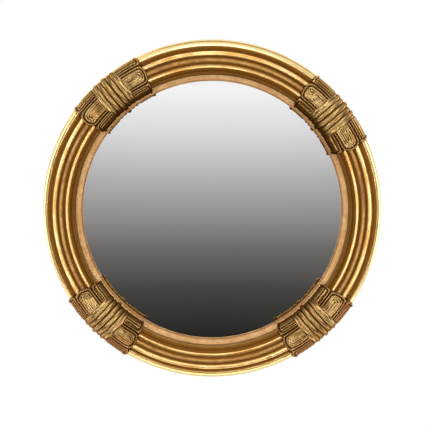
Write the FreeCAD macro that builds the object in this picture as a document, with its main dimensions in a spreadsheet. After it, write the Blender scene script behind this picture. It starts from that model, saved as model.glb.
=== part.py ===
import FreeCAD, Part
import os
import Sketcher

# Round convex mirror in a reeded giltwood frame with four leaf-carved collars.
# Frame of the model: millimetres, +Z up, the mirror faces -Y, the wall is the plane Y = 0, and
# the origin is the centre of the back. "Depth" is the distance in front of the wall, so Y = -depth.
# "Angle" runs counter-clockwise from +X as seen from the front.

SIZES = {
    # Frame outline and reeded moulding, from the outside in
    "frame_radius": 280.0,          # outer edge of the frame at the wall
    "side_draft": 4.6,              # how far the side leans in from the wall to the shoulder
    "shoulder_depth": 30.0,         # foot of the outermost reed
    "outer_reed_width": 12.0,       # radial widths of the five reeds
    "second_reed_width": 11.8,
    "crest_reed_width": 11.1,
    "fourth_reed_width": 12.3,
    "inner_reed_width": 4.4,
    "outer_reed_climb": 5.9,        # how much each reed gains or loses in depth, outside to inside
    "second_reed_climb": 2.5,
    "crest_reed_climb": 0.4,
    "fourth_reed_drop": 3.4,
    "inner_reed_drop": 10.9,
    "reed_rise": 3.2,               # height of a reed's round above the line between its quirks
    # Back ring of felloes
    "back_ring_depth": 18.0,        # thickness of the back ring
    "felloe_count": 6.0,
    # Slip at the sight edge
    "slip_width": 9.9,
    "slip_outer_drop": 0.9,         # outer edge of the slip below the foot of the inner reed
    "slip_sight_thickness": 3.0,
    # Convex glass
    "glass_curve_radius": 920.0,
    "glass_thickness": 3.0,
    "glass_cover": 3.0,             # how far the slip covers the edge of the glass
    "glass_clearance": 2.0,         # around the edge of the glass
    "glass_gap": 0.3,               # between the glass and what it rests on
    # Glazing blocks
    "block_count": 8.0,
    "block_width": 15.0,
    "block_angle": 7.0,
    # Backboard
    "board_thickness": 6.0,
    "board_ledge": 10.0,            # width of the ledge that the backboard is screwed to
    "board_clearance": 0.5,
    "plank_gap": 0.4,
    # Screws of the backboard
    "board_screw_count": 12.0,
    "board_screw_length": 14.0,
    "board_screw_radius": 1.4,
    "board_screw_head_radius": 2.9,
    "board_screw_head_height": 1.9,
    # Collars
    "upper_right_collar_angle": 39.2,
    "upper_left_collar_angle": 129.6,
    "lower_left_collar_angle": 225.3,
    "lower_right_collar_angle": 313.0,
    "collar_outer_inset": 3.1,      # outer wall of a collar, inside the frame's outer edge
    "collar_inner_overhang": 5.3,   # inner wall of a collar, past the moulding, over the slip
    "collar_foot_depth": 3.0,       # where the ribs begin on the side of the frame
    "collar_spring_drop": 3.5,      # the walls of the arch begin to turn over below the shoulder
    "collar_shoulder_radius": 13.0,
    "collar_crown_radius": 40.0,
    "collar_core": 10.0,            # depth of the band before it is fitted to the reeds
    "band_half_width": 22.0,
    "band_base_height": 0.5,
    "rib_half_width": 4.6,
    "rib_height": 3.1,
    "bead_place": 16.8,
    "bead_half_width": 2.9,
    "bead_height": 2.1,
    "cove_radius": 12.0,
    # Leaf cuffs: lengths are measured from the collar's centre along its middle
    "leaf_length": 57.5,            # to the notches between the leaves
    "outer_notch_width": 12.4,      # from the collar's outer wall to the first notch
    "inner_notch_width": 15.5,      # from the collar's inner wall to the second notch
    "outer_leaf_radius": 9.5,
    "middle_leaf_radius": 26.0,
    "inner_leaf_radius": 12.0,
    # Hanger
    "recess_wall": 3.85,            # wood between the backboard's rebate and the recess
    "hinge_depth": 4.2,
    "hinge_clearance": 0.05,
    "wire_radius": 1.55,
    "ring_half_width": 11.0,
    "ring_corner_radius": 3.0,
    "ring_side_length": 1.5,
    "recess_depth": 8.0,
    "recess_clearance": 2.2,
    "recess_corner_radius": 6.0,
    "plate_half_length": 32.0,
    "plate_height": 11.0,
    "plate_drop": 2.5,              # upper edge of the plate below the hinge axis
    "plate_thickness": 2.0,
    "knuckle_radius": 3.2,
    "knuckle_half_length": 7.0,
    # Screws of the hanger
    "hanger_screw_place": 24.0,     # from the middle of the plate
    "hanger_screw_length": 11.0,
    "hanger_screw_radius": 1.6,
    "hanger_screw_head_radius": 3.2,
    "hanger_screw_head_height": 1.6,
    # Shared by all screws
    "screw_fit": 0.1,               # clearance around a screw
    "screw_point": 3.0,
    "slot_width": 0.8,
    "slot_depth": 0.7,
}

doc = FreeCAD.newDocument("ConvexMirror")
sheet = doc.addObject("Spreadsheet::Sheet", "Sizes")
for row, (alias, number) in enumerate(SIZES.items(), start=1):
    sheet.set(f"A{row}", str(number))
    sheet.setAlias(f"A{row}", alias)
doc.recompute()

ORIGIN = FreeCAD.Vector(0, 0, 0)
TOWARDS_VIEWER = FreeCAD.Vector(0, -1, 0)
ACROSS = FreeCAD.Vector(1, 0, 0)
NODES = []


# --- formulas, written once as text so that sketches and placements share them ---------------

def size(alias):
    return f"Sizes.{alias}"


def formula(text):
    """Write each size's name in a formula as a reference to the sheet."""
    words = sorted(SIZES, key=len, reverse=True)
    for index, alias in enumerate(words):
        text = text.replace(alias, f"<{index}>")
    for index, alias in enumerate(words):
        text = text.replace(f"<{index}>", size(alias))
    return f"({text})"


def value(expression):
    return float(sheet.evalExpression(expression))


def minus(expression):
    return f"(-1 * {expression})"


def plus(*terms):
    return "(" + " + ".join(terms) + ")"


# Quirks between the reeds: radius and depth of each, from the shoulder to the moulding's foot
QUIRK_RADII = [formula("frame_radius - side_draft")]
QUIRK_DEPTHS = [formula("shoulder_depth")]
REEDS = [
    ("outer_reed_width", "outer_reed_climb"),
    ("second_reed_width", "second_reed_climb"),
    ("crest_reed_width", "crest_reed_climb"),
    ("fourth_reed_width", "-1 * fourth_reed_drop"),
    ("inner_reed_width", "-1 * inner_reed_drop"),
]
REED_ROUNDS = []
for width, climb in REEDS:
    QUIRK_RADII.append(f"({QUIRK_RADII[-1]} - {formula(width)})")
    QUIRK_DEPTHS.append(plus(QUIRK_DEPTHS[-1], formula(climb)))
    half_chord_squared = formula(f"(({width}) ^ 2 + ({climb}) ^ 2) / 4")
    REED_ROUNDS.append(f"(({half_chord_squared} + {formula('reed_rise ^ 2')}) / {formula('2 * reed_rise')})")

MOULDING_INNER_RADIUS = QUIRK_RADII[-1]
RING_DEPTH = formula("back_ring_depth")
SLIP_OUTER_DEPTH = f"({QUIRK_DEPTHS[-1]} - {formula('slip_outer_drop')})"
SIDE_RADIUS_AT_RING = formula("frame_radius - side_draft * back_ring_depth / shoulder_depth")
SIGHT_RADIUS = f"({MOULDING_INNER_RADIUS} - {formula('slip_width')})"
GLASS_RADIUS = plus(SIGHT_RADIUS, formula("glass_cover"))
REBATE_RADIUS = plus(GLASS_RADIUS, formula("glass_clearance"))
LEDGE_RADIUS = plus(REBATE_RADIUS, formula("board_ledge"))
BOARD_RADIUS = f"({LEDGE_RADIUS} - {formula('board_clearance')})"
SCREW_CIRCLE_RADIUS = plus(REBATE_RADIUS, formula("board_ledge / 2"))
# Centre of the glass's sphere, behind the wall, so that the glass comes to rest on the slip
SPHERE_DEPTH = (f"({RING_DEPTH} - {formula('glass_gap')}"
                f" - sqrt({formula('glass_curve_radius')} ^ 2 - {SIGHT_RADIUS} ^ 2))")

COLLAR_OUTER_WALL = formula("frame_radius - collar_outer_inset")
COLLAR_INNER_WALL = f"({MOULDING_INNER_RADIUS} - {formula('collar_inner_overhang')})"
COLLAR_MIDDLE = f"(({COLLAR_OUTER_WALL} + {COLLAR_INNER_WALL}) / 2)"
COLLAR_SPRING_DEPTH = formula("shoulder_depth - collar_spring_drop")
COLLAR_NAMES = ["upper_right", "upper_left", "lower_left", "lower_right"]
COLLAR_ANGLES = [formula(f"{name}_collar_angle") for name in COLLAR_NAMES]

# The ring hangs down over its plate or is turned up, and the recess holds it both ways
RECESS_REACH = formula("ring_corner_radius + ring_side_length + ring_half_width"
                       " + wire_radius + recess_clearance")
HINGE_HEIGHT = plus(LEDGE_RADIUS, formula("recess_wall"), RECESS_REACH)
PLATE_TOP = f"({HINGE_HEIGHT} - {formula('plate_drop')})"
PLATE_BACK = formula("recess_depth - plate_thickness")


# --- sketches and features -------------------------------------------------------------------

def new_body(name, allow_compound=False):
    body = doc.addObject("PartDesign::Body", name)
    body.Label = name
    body.AllowCompound = allow_compound
    return body


def origin_feature(body, role):
    return next(item for item in body.Origin.OriginFeatures if item.Role == role)


def new_sketch(body, name, plane, offset=None):
    """A sketch on one of the body's own planes, moved along the plane's normal by a formula."""
    sketch = body.newObject("Sketcher::SketchObject", name)
    sketch.AttachmentSupport = [(origin_feature(body, plane), "")]
    sketch.MapMode = "FlatFace"
    if offset is not None:
        sketch.setExpression("AttachmentOffset.Base.z", offset)
    return sketch


def bind(sketch, constraint, expression):
    index = sketch.addConstraint(constraint)
    sketch.setExpression(f"Constraints[{index}]", expression)


def arc_through(start, end, radius, bulge):
    """A round edge from start to end. bulge is +1 to the left of that direction, -1 to the right."""
    chord = end - start
    left = FreeCAD.Vector(-chord.y, chord.x, 0).normalize()
    half = chord.Length / 2
    sagitta = radius - (max(radius ** 2 - half ** 2, 0)) ** 0.5
    middle = (start + end) * 0.5 + left * (bulge * sagitta)
    return Part.Arc(start, middle, end)


def outline(sketch, corners, rounds=None, closed=True):
    """Corners are pairs of formulas. rounds gives a side, by its first corner, a radius formula
    and the side it bulges to, and every other side is straight."""
    rounds = rounds or {}
    points = [FreeCAD.Vector(value(across), value(along), 0) for across, along in corners]
    side_count = len(points) if closed else len(points) - 1
    ends = []
    for side in range(side_count):
        following = (side + 1) % len(points)
        if side in rounds:
            radius, bulge = rounds[side]
            edge = arc_through(points[side], points[following], value(radius), bulge)
        else:
            edge = Part.LineSegment(points[side], points[following])
        number = sketch.addGeometry(edge, False)
        near_start = sketch.getPoint(number, 1).distanceToPoint(points[side])
        near_end = sketch.getPoint(number, 2).distanceToPoint(points[side])
        first, last = (1, 2) if near_start < near_end else (2, 1)
        ends.append((number, first, last))
        if side in rounds:
            bind(sketch, Sketcher.Constraint("Radius", number, value(radius)), radius)
    for side, (number, first, last) in enumerate(ends):
        across, along = corners[side]
        bind(sketch, Sketcher.Constraint("DistanceX", number, first, points[side].x), across)
        bind(sketch, Sketcher.Constraint("DistanceY", number, first, points[side].y), along)
        if closed or side + 1 < side_count:
            next_number, next_first, _ = ends[(side + 1) % side_count]
            sketch.addConstraint(Sketcher.Constraint("Coincident", number, last, next_number, next_first))
    if not closed:
        number, _, last = ends[-1]
        across, along = corners[-1]
        bind(sketch, Sketcher.Constraint("DistanceX", number, last, points[-1].x), across)
        bind(sketch, Sketcher.Constraint("DistanceY", number, last, points[-1].y), along)
    return sketch


def circle(sketch, across, along, radius):
    centre = FreeCAD.Vector(value(across), value(along), 0)
    number = sketch.addGeometry(Part.Circle(centre, FreeCAD.Vector(0, 0, 1), value(radius)), False)
    bind(sketch, Sketcher.Constraint("DistanceX", number, 3, centre.x), across)
    bind(sketch, Sketcher.Constraint("DistanceY", number, 3, centre.y), along)
    bind(sketch, Sketcher.Constraint("Radius", number, value(radius)), radius)
    return sketch


def revolve(body, sketch, angle, reversed_turn=False, midplane=False, axis="V_Axis"):
    feature = body.newObject("PartDesign::Revolution", f"{body.Name}_turned")
    feature.Profile = sketch
    feature.ReferenceAxis = (sketch, [axis])
    feature.Reversed = reversed_turn
    feature.Midplane = midplane
    feature.setExpression("Angle", angle)
    return feature


def pad(body, sketch, length, midplane=False, reversed_way=False):
    feature = body.newObject("PartDesign::Pad", f"{sketch.Name}_pad")
    feature.Profile = sketch
    feature.Midplane = midplane
    feature.Reversed = reversed_way
    feature.setExpression("Length", length)
    return feature


def ring_pattern(body, features, count):
    pattern = body.newObject("PartDesign::PolarPattern", f"{body.Name}_pattern")
    pattern.Originals = features
    pattern.Axis = (origin_feature(body, "Y_Axis"), [""])
    pattern.Angle = 360
    pattern.setExpression("Occurrences", count)
    body.Tip = pattern
    return pattern


def turn_to(item, angle):
    """Turn an object about the mirror's axis to its angle, as seen from the front."""
    item.Placement = FreeCAD.Placement(ORIGIN, FreeCAD.Rotation(TOWARDS_VIEWER, value(angle)))
    item.setExpression("Placement.Rotation.Angle", angle)


def boolean(kind, name, base, tool):
    result = doc.addObject(f"Part::{kind}", name)
    result.Label = name
    result.Base = base
    result.Tool = tool
    return result


def node(item, name):
    item.Label = name
    NODES.append(item)
    return item


# --- reeded moulding, back ring and slip -----------------------------------------------------

def reed_corners():
    return [(radius, minus(depth)) for radius, depth in zip(QUIRK_RADII, QUIRK_DEPTHS)]


def make_moulding(number):
    """One length of reeded moulding, butted to the next two under the middle of a collar."""
    start = COLLAR_ANGLES[number]
    if number < 3:
        angle = f"({COLLAR_ANGLES[number + 1]} - {start})"
    else:
        angle = f"(360 + {COLLAR_ANGLES[0]} - {start})"
    name = ["moulding_top", "moulding_left", "moulding_bottom", "moulding_right"][number]
    body = new_body(name)
    sketch = new_sketch(body, f"{name}_section", "XY_Plane")
    corners = [(MOULDING_INNER_RADIUS, minus(RING_DEPTH)), (SIDE_RADIUS_AT_RING, minus(RING_DEPTH))]
    corners += reed_corners()
    rounds = {2 + reed: (radius, 1) for reed, radius in enumerate(REED_ROUNDS)}
    outline(sketch, corners, rounds)
    revolve(body, sketch, angle, reversed_turn=True)
    turn_to(body, start)
    return node(body, name)


def make_frame_form():
    """The whole front of the frame in one turned form, which the collars are fitted over."""
    body = new_body("frame_form")
    sketch = new_sketch(body, "frame_form_section", "XY_Plane")
    corners = [(SIGHT_RADIUS, "0"), (formula("frame_radius"), "0")] + reed_corners()
    corners += [
        (MOULDING_INNER_RADIUS, minus(SLIP_OUTER_DEPTH)),
        (SIGHT_RADIUS, minus(plus(RING_DEPTH, formula("slip_sight_thickness")))),
    ]
    rounds = {2 + reed: (radius, 1) for reed, radius in enumerate(REED_ROUNDS)}
    outline(sketch, corners, rounds)
    revolve(body, sketch, "360")
    return body


def make_slip():
    body = new_body("sight_slip")
    sketch = new_sketch(body, "sight_slip_section", "XY_Plane")
    outline(sketch, [
        (SIGHT_RADIUS, minus(RING_DEPTH)),
        (MOULDING_INNER_RADIUS, minus(RING_DEPTH)),
        (MOULDING_INNER_RADIUS, minus(SLIP_OUTER_DEPTH)),
        (SIGHT_RADIUS, minus(plus(RING_DEPTH, formula("slip_sight_thickness")))),
    ])
    revolve(body, sketch, "360")
    return node(body, "sight_slip")


def make_felloe(number, cutters):
    """One segment of the back ring, with the rebate for the backboard and what is cut into it."""
    angle = formula("360 / felloe_count")
    body = new_body(f"felloe_blank_{number}")
    sketch = new_sketch(body, f"felloe_section_{number}", "XY_Plane")
    outline(sketch, [
        (LEDGE_RADIUS, "0"),
        (formula("frame_radius"), "0"),
        (SIDE_RADIUS_AT_RING, minus(RING_DEPTH)),
        (REBATE_RADIUS, minus(RING_DEPTH)),
        (REBATE_RADIUS, minus(formula("board_thickness"))),
        (LEDGE_RADIUS, minus(formula("board_thickness"))),
    ])
    revolve(body, sketch, angle, reversed_turn=True)
    # the middle of the first felloe is at the top of the frame
    turn_to(body, f"(90 + {number - 1} * {angle} - {angle} / 2)")
    result = body
    for step, cutter in enumerate(cutters, start=1):
        result = boolean("Cut", f"felloe_{number}_cut_{step}", result, cutter)
    return node(result, f"felloe_{number}")


# --- glass, blocks and backboard -------------------------------------------------------------

def sphere_depth_at(radius, sphere_radius):
    return f"({SPHERE_DEPTH} + sqrt({sphere_radius} ^ 2 - {radius} ^ 2))"


def make_glass():
    front = formula("glass_curve_radius")
    back = formula("glass_curve_radius - glass_thickness")
    body = new_body("convex_glass")
    sketch = new_sketch(body, "convex_glass_section", "XY_Plane")
    outline(sketch, [
        ("0", minus(plus(SPHERE_DEPTH, back))),
        (GLASS_RADIUS, minus(sphere_depth_at(GLASS_RADIUS, back))),
        (GLASS_RADIUS, minus(sphere_depth_at(GLASS_RADIUS, front))),
        ("0", minus(plus(SPHERE_DEPTH, front))),
    ], {0: (back, -1), 2: (front, 1)})
    revolve(body, sketch, "360")
    return node(body, "convex_glass")


def make_blocks():
    """Small blocks glued into the rebate, their front faces following the back of the glass."""
    seat = formula("glass_curve_radius - glass_thickness - glass_gap")
    inner = f"({REBATE_RADIUS} - {formula('block_width')})"
    body = new_body("glazing_blocks", allow_compound=True)
    sketch = new_sketch(body, "glazing_blocks_section", "XY_Plane")
    outline(sketch, [
        (inner, minus(formula("board_thickness"))),
        (REBATE_RADIUS, minus(formula("board_thickness"))),
        (REBATE_RADIUS, minus(sphere_depth_at(REBATE_RADIUS, seat))),
        (inner, minus(sphere_depth_at(inner, seat))),
    ], {2: (seat, 1)})
    block = revolve(body, sketch, formula("block_angle"), midplane=True)
    ring_pattern(body, [block], formula("block_count"))
    turn_to(body, formula("180 / block_count"))
    return node(body, "glazing_blocks")


def make_plank(number, name, cutter):
    """One board of the back: a strip across the round, with a shrinkage gap beside it."""
    width = f"(2 * {BOARD_RADIUS} / 3)"
    thickness = formula("board_thickness")
    disc = doc.addObject("Part::Cylinder", f"{name}_round")
    disc.setExpression("Radius", BOARD_RADIUS)
    disc.setExpression("Height", thickness)
    disc.Placement = FreeCAD.Placement(ORIGIN, FreeCAD.Rotation(ACROSS, 90))
    strip = doc.addObject("Part::Box", f"{name}_strip")
    strip.setExpression("Length", f"(2 * {BOARD_RADIUS})")
    strip.setExpression("Width", thickness)
    strip.setExpression("Height", f"({width} - {formula('plank_gap')})")
    strip.setExpression("Placement.Base.x", minus(BOARD_RADIUS))
    strip.setExpression("Placement.Base.y", minus(thickness))
    strip.setExpression(
        "Placement.Base.z", f"({number} * {width} - {BOARD_RADIUS} + {formula('plank_gap / 2')})")
    board = boolean("Common", f"{name}_board", disc, strip)
    return node(boolean("Cut", f"{name}_bored", board, cutter), name)


# --- screws ----------------------------------------------------------------------------------

def screw_outline(sketch, kind, axis_place, head_depth, fit):
    """Half the section of a countersunk screw beside its axis, a construction line. It enters
    at head_depth and points to the front. fit is added all round, for the hole it goes in."""
    head = plus(formula(f"{kind}_head_radius"), fit)
    shank = plus(formula(f"{kind}_radius"), fit)
    start = head_depth
    neck = plus(start, formula(f"{kind}_head_height"), fit)
    length = formula(f"{kind}_length")
    taper = plus(start, f"({length} - {formula('screw_point')})")
    point = plus(start, length, fit)
    outline(sketch, [
        (axis_place, minus(start)),
        (plus(axis_place, head), minus(start)),
        (plus(axis_place, shank), minus(neck)),
        (plus(axis_place, shank), minus(taper)),
        (axis_place, minus(point)),
    ])


def screw(body, kind, plane_offset, axis_place, head_depth, fit="0"):
    """A screw, or the hole for one, turned about its own axis at its place beside the Z axis."""
    sketch = new_sketch(body, f"{body.Name}_section", "XY_Plane", plane_offset)
    screw_outline(sketch, kind, axis_place, head_depth, fit)
    feature = body.newObject("PartDesign::Revolution", f"{body.Name}_screw")
    feature.Profile = sketch
    feature.ReferenceAxis = (sketch, ["Edge5"])
    feature.Angle = 360
    return feature


def slot(body, kind, across, up, head_depth):
    """The driver slot, cut from the head towards the point."""
    width = formula("slot_width / 2")
    reach = formula(f"{kind}_head_radius")
    sketch = new_sketch(body, f"{body.Name}_slot", "XZ_Plane", head_depth)
    outline(sketch, [
        (f"({across} - {reach})", f"({up} - {width})"),
        (plus(across, reach), f"({up} - {width})"),
        (plus(across, reach), plus(up, width)),
        (f"({across} - {reach})", plus(up, width)),
    ])
    feature = body.newObject("PartDesign::Pocket", f"{body.Name}_slot_cut")
    feature.Profile = sketch
    feature.Reversed = True
    feature.setExpression("Length", formula("slot_depth"))
    return feature


def make_board_screws(name, fit, slotted):
    body = new_body(name, allow_compound=True)
    features = [screw(body, "board_screw", None, SCREW_CIRCLE_RADIUS, "0", fit)]
    if slotted:
        features.append(slot(body, "board_screw", SCREW_CIRCLE_RADIUS, "0", None))
    ring_pattern(body, features, formula("board_screw_count"))
    turn_to(body, formula("180 / board_screw_count"))
    return body


def make_hanger_screws(name, fit, slotted):
    place = formula("hanger_screw_place")
    level = f"({PLATE_TOP} - {formula('plate_height / 2')})"
    body = new_body(name, allow_compound=True)
    features = [screw(body, "hanger_screw", level, place, PLATE_BACK, fit)]
    if slotted:
        features.append(slot(body, "hanger_screw", place, level, PLATE_BACK))
    mirror = body.newObject("PartDesign::Mirrored", f"{name}_pair")
    mirror.Originals = features
    mirror.MirrorPlane = (origin_feature(body, "YZ_Plane"), [""])
    body.Tip = mirror
    return body


# --- hanger ----------------------------------------------------------------------------------

def make_recess():
    """The pocket in the back of the top felloe: room for the ring to hang and to be turned up."""
    half_length = formula("plate_half_length + recess_clearance")
    corner = formula("recess_corner_radius")
    low = f"({HINGE_HEIGHT} - {RECESS_REACH})"
    high = plus(HINGE_HEIGHT, RECESS_REACH)
    body = new_body("hanger_recess_form")
    sketch = new_sketch(body, "hanger_recess_outline", "XZ_Plane")
    outline(sketch, [
        (minus(f"({half_length} - {corner})"), low),
        (f"({half_length} - {corner})", low),
        (half_length, plus(low, corner)),
        (half_length, f"({high} - {corner})"),
        (f"({half_length} - {corner})", high),
        (minus(f"({half_length} - {corner})"), high),
        (minus(half_length), f"({high} - {corner})"),
        (minus(half_length), plus(low, corner)),
    ], {side: (corner, -1) for side in (1, 3, 5, 7)})
    pad(body, sketch, formula("recess_depth"))
    return body


def make_plate(cutter):
    """A strip screwed to the floor of the recess, its middle rolled up into a knuckle."""
    half_length = formula("plate_half_length")
    half_knuckle = formula("knuckle_half_length")
    bottom = f"({PLATE_TOP} - {formula('plate_height')})"
    body = new_body("hanger_plate_form")
    strip = new_sketch(body, "plate_outline", "XZ_Plane", PLATE_BACK)
    outline(strip, [
        (minus(half_length), bottom),
        (half_length, bottom),
        (half_length, PLATE_TOP),
        (half_knuckle, PLATE_TOP),
        (half_knuckle, HINGE_HEIGHT),
        (minus(half_knuckle), HINGE_HEIGHT),
        (minus(half_knuckle), PLATE_TOP),
        (minus(half_length), PLATE_TOP),
    ])
    pad(body, strip, formula("plate_thickness"))
    barrel = new_sketch(body, "knuckle_outline", "YZ_Plane")
    circle(barrel, minus(formula("hinge_depth")), HINGE_HEIGHT, formula("knuckle_radius"))
    pad(body, barrel, f"(2 * {half_knuckle})", midplane=True)
    bore = new_sketch(body, "knuckle_bore", "YZ_Plane")
    circle(bore, minus(formula("hinge_depth")), HINGE_HEIGHT, formula("wire_radius + hinge_clearance"))
    cut = body.newObject("PartDesign::Pocket", "knuckle_bore_cut")
    cut.Profile = bore
    cut.Midplane = True
    cut.setExpression("Length", f"(4 * {half_knuckle})")
    return node(boolean("Cut", "hanger_plate_bored", body, cutter), "hanger_plate")


def make_ring():
    """A closed D of round wire. Its straight leg runs through the knuckle."""
    half = formula("ring_half_width")
    corner = formula("ring_corner_radius")
    side_end = f"({HINGE_HEIGHT} - {formula('ring_corner_radius + ring_side_length')})"
    body = new_body("hanging_ring")
    path = new_sketch(body, "ring_path", "XZ_Plane", formula("hinge_depth"))
    outline(path, [
        ("0", HINGE_HEIGHT),
        (f"({half} - {corner})", HINGE_HEIGHT),
        (half, f"({HINGE_HEIGHT} - {corner})"),
        (half, side_end),
        ("0", f"({side_end} - {half})"),
        (minus(half), side_end),
        (minus(half), f"({HINGE_HEIGHT} - {corner})"),
        (minus(f"({half} - {corner})"), HINGE_HEIGHT),
    ], {1: (corner, 1), 3: (half, 1), 4: (half, 1), 6: (corner, 1)})
    wire = new_sketch(body, "ring_wire", "YZ_Plane")
    circle(wire, minus(formula("hinge_depth")), HINGE_HEIGHT, formula("wire_radius"))
    pipe = body.newObject("PartDesign::AdditivePipe", "ring_bent")
    pipe.Profile = wire
    pipe.Spine = path
    return node(body, "hanging_ring")


# --- collars ---------------------------------------------------------------------------------

def arch(offset="0"):
    """Corners and rounds of a collar's arch across the frame, from its outer foot to its inner
    foot: a wall, a shoulder, the crown, a shoulder and a wall, each tangent to the next."""
    half = plus(f"(({COLLAR_OUTER_WALL} - {COLLAR_INNER_WALL}) / 2)", offset)
    shoulder = plus(formula("collar_shoulder_radius"), offset)
    crown = plus(formula("collar_crown_radius"), offset)
    spring = COLLAR_SPRING_DEPTH
    foot = formula("collar_foot_depth")
    lean = f"(({half} - {shoulder}) / ({crown} - {shoulder}))"
    turn_place = f"({half} - {shoulder} + {shoulder} * {lean})"
    turn_depth = f"({spring} + {shoulder} * sqrt(1 - {lean} ^ 2))"
    corners = [
        (plus(COLLAR_MIDDLE, half), minus(foot)),
        (plus(COLLAR_MIDDLE, half), minus(spring)),
        (plus(COLLAR_MIDDLE, turn_place), minus(turn_depth)),
        (f"({COLLAR_MIDDLE} - {turn_place})", minus(turn_depth)),
        (f"({COLLAR_MIDDLE} - {half})", minus(spring)),
        (f"({COLLAR_MIDDLE} - {half})", minus(foot)),
    ]
    return corners, {1: (shoulder, 1), 2: (crown, 1), 3: (shoulder, 1)}


def make_band(number, form):
    """Rib, coves and beads bent over the frame along the arch, and fitted to the reeds."""
    name = f"collar_band_{COLLAR_NAMES[number]}"
    body = new_body(f"{name}_blank")
    corners, rounds = arch()
    path = new_sketch(body, f"{name}_path", "XY_Plane")
    outline(path, corners, rounds, closed=False)
    wall = COLLAR_OUTER_WALL
    base = plus(wall, formula("band_base_height"))
    core = f"({wall} - {formula('collar_core')})"
    half_width = formula("band_half_width")
    half_rib = formula("rib_half_width")
    bead_near = formula("bead_place - bead_half_width")
    bead_far = formula("bead_place + bead_half_width")
    rib_round = formula("(rib_half_width ^ 2 + rib_height ^ 2) / (2 * rib_height)")
    bead_round = formula("(bead_half_width ^ 2 + bead_height ^ 2) / (2 * bead_height)")
    cove_round = formula("cove_radius")
    profile = new_sketch(body, f"{name}_profile", "XZ_Plane", formula("collar_foot_depth"))
    outline(profile, [
        (core, minus(half_width)),
        (wall, minus(half_width)),
        (base, minus(bead_far)),
        (base, minus(bead_near)),
        (base, minus(half_rib)),
        (base, half_rib),
        (base, bead_near),
        (base, bead_far),
        (wall, half_width),
        (core, half_width),
    ], {
        2: (bead_round, -1),
        3: (cove_round, 1),
        4: (rib_round, -1),
        5: (cove_round, 1),
        6: (bead_round, -1),
    })
    pipe = body.newObject("PartDesign::AdditivePipe", f"{name}_bent")
    pipe.Profile = profile
    pipe.Spine = path
    fitted = boolean("Cut", f"{name}_fitted", body, form)
    turn_to(fitted, COLLAR_ANGLES[number])
    return node(fitted, name)


def make_cuff(number, side, form):
    """A cuff of three leaves beside the band: the arch turned about the mirror's axis, trimmed
    to the leaves as seen from the front, and fitted to the reeds."""
    way = 1 if side == "left" else -1
    name = f"leaf_cuff_{COLLAR_NAMES[number]}_{side}"
    notch_angle = f"({formula('leaf_length')} / {COLLAR_MIDDLE} * 180 / pi)"
    blank = new_body(f"{name}_blank")
    section = new_sketch(blank, f"{name}_section", "XY_Plane")
    corners, rounds = arch()
    outline(section, corners, rounds)
    revolve(blank, section, f"(4 * {notch_angle})", midplane=True)
    leaves = new_body(f"{name}_leaves")
    front = new_sketch(leaves, f"{name}_outline", "XZ_Plane")
    edge = formula("band_half_width")

    def on_ring(radius):
        across = f"({radius} * cos({notch_angle}))"
        return across, f"({way} * {radius} * sin({notch_angle}))"

    margin = formula("collar_outer_inset")
    outer = plus(COLLAR_OUTER_WALL, margin)
    inner = f"({COLLAR_INNER_WALL} - {margin})"
    outline(front, [
        (inner, f"({way} * {edge})"),
        (outer, f"({way} * {edge})"),
        on_ring(outer),
        on_ring(f"({COLLAR_OUTER_WALL} - {formula('outer_notch_width')})"),
        on_ring(plus(COLLAR_INNER_WALL, formula("inner_notch_width"))),
        on_ring(inner),
    ], {
        2: (formula("outer_leaf_radius"), -way),
        3: (formula("middle_leaf_radius"), -way),
        4: (formula("inner_leaf_radius"), -way),
    })
    pad(leaves, front, formula("2 * collar_crown_radius"))
    trimmed = boolean("Common", f"{name}_trimmed", blank, leaves)
    fitted = boolean("Cut", f"{name}_fitted", trimmed, form)
    turn_to(fitted, COLLAR_ANGLES[number])
    return node(fitted, name)


# --- assembly --------------------------------------------------------------------------------

def check_objects():
    failed = [item.Name for item in doc.Objects if "Invalid" in item.State or "Error" in item.State]
    if failed:
        raise RuntimeError(f"failed: {', '.join(failed)}")
    for item in NODES:
        shape = item.Shape
        if shape.isNull() or not shape.isValid() or not shape.Solids:
            raise RuntimeError(f"{item.Label} has no valid solid")


def main():
    fit = formula("screw_fit")
    board_holes = make_board_screws("backboard_screw_holes", fit, slotted=False)
    hanger_holes = make_hanger_screws("hanger_screw_holes", fit, slotted=False)
    recess = make_recess()
    form = make_frame_form()
    for number in range(4):
        make_moulding(number)
    make_slip()
    make_glass()
    make_felloe(1, [recess, board_holes, hanger_holes])
    for number in range(2, int(value(size("felloe_count"))) + 1):
        make_felloe(number, [board_holes])
    make_blocks()
    for number, name in enumerate(["backboard_lower", "backboard_middle", "backboard_upper"]):
        make_plank(number, name, board_holes)
    node(make_board_screws("backboard_screws", "0", slotted=True), "backboard_screws")
    make_plate(hanger_holes)
    make_ring()
    node(make_hanger_screws("hanger_screws", "0", slotted=True), "hanger_screws")
    for number in range(4):
        make_band(number, form)
        make_cuff(number, "left", form)
        make_cuff(number, "right", form)
    doc.recompute()
    check_objects()
    os.makedirs("parts", exist_ok=True)
    for item in NODES:
        item.Shape.exportStep(f"parts/{item.Label}.step")
        print(f"{item.Label}: {len(item.Shape.Solids)} solid(s), {item.Shape.Volume:.1f} mm3")


main()
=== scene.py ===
import math

import bpy
import numpy as np
from bpy.props import FloatProperty, FloatVectorProperty, PointerProperty
from mathutils import Matrix


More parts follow.
